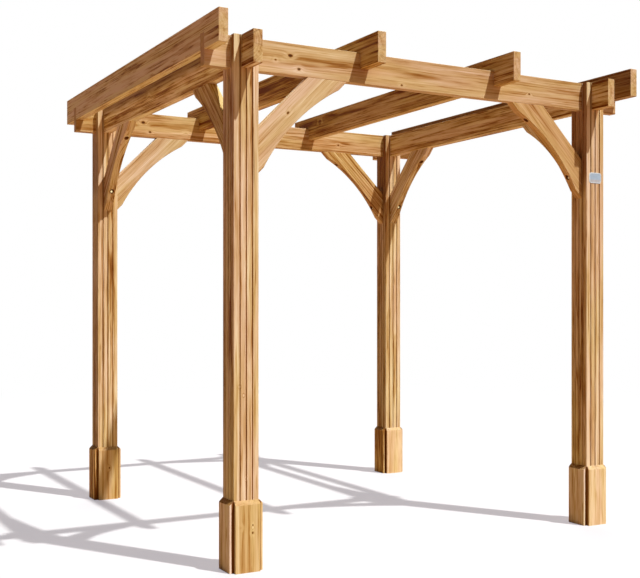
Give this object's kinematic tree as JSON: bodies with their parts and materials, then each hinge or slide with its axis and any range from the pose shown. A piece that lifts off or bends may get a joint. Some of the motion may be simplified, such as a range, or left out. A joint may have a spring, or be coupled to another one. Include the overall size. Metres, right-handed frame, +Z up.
{
  "type": "wooden pergola",
  "caption": "Square open-frame timber pergola: fluted posts on boarded feet, crossing beams let into the post tops, notched rafters and curved corner braces.",
  "frame": {"origin": "on the ground at the middle of the plan, under the centre of the roof", "axes": "+X along the front beam to the right, +Y from the front to the back, +Z up"},
  "size_m": [2.4, 2.4, 2.43],
  "materials": {
    "post_wood": "planed golden-brown treated softwood",
    "beam_wood": "planed golden-brown treated softwood",
    "rafter_wood": "planed golden-brown treated softwood",
    "brace_wood": "planed golden-brown treated softwood",
    "foot_wood": "planed golden-brown treated softwood",
    "screw_steel": "yellow passivated",
    "plate_metal": "satin, blank"
  },
  "bodies": {
    "root": {"beam_back": "beam_wood", "beam_front": "beam_wood", "beam_left": "beam_wood", "beam_right": "beam_wood", "brace_back_left_along_front": "brace_wood", "brace_back_left_along_side": "brace_wood", "brace_back_right_along_front": "brace_wood", "brace_back_right_along_side": "brace_wood", "brace_front_left_along_front": "brace_wood", "brace_front_left_along_side": "brace_wood", "brace_front_right_along_front": "brace_wood", "brace_front_right_along_side": "brace_wood", "brace_screws": "screw_steel", "foot_back_left_back_board": "foot_wood", "foot_back_left_front_board": "foot_wood", "foot_back_left_left_board": "foot_wood", "foot_back_left_right_board": "foot_wood", "foot_back_right_back_board": "foot_wood", "foot_back_right_front_board": "foot_wood", "foot_back_right_left_board": "foot_wood", "foot_back_right_right_board": "foot_wood", "foot_front_left_back_board": "foot_wood", "foot_front_left_front_board": "foot_wood", "foot_front_left_left_board": "foot_wood", "foot_front_left_right_board": "foot_wood", "foot_front_right_back_board": "foot_wood", "foot_front_right_front_board": "foot_wood", "foot_front_right_left_board": "foot_wood", "foot_front_right_right_board": "foot_wood", "plain_plate": "plate_metal", "post_back_left": "post_wood", "post_back_right": "post_wood", "post_front_left": "post_wood", "post_front_right": "post_wood", "rafter_left": "rafter_wood", "rafter_mid_left": "rafter_wood", "rafter_mid_right": "rafter_wood", "rafter_right": "rafter_wood"}
  },
  "joints": []
}
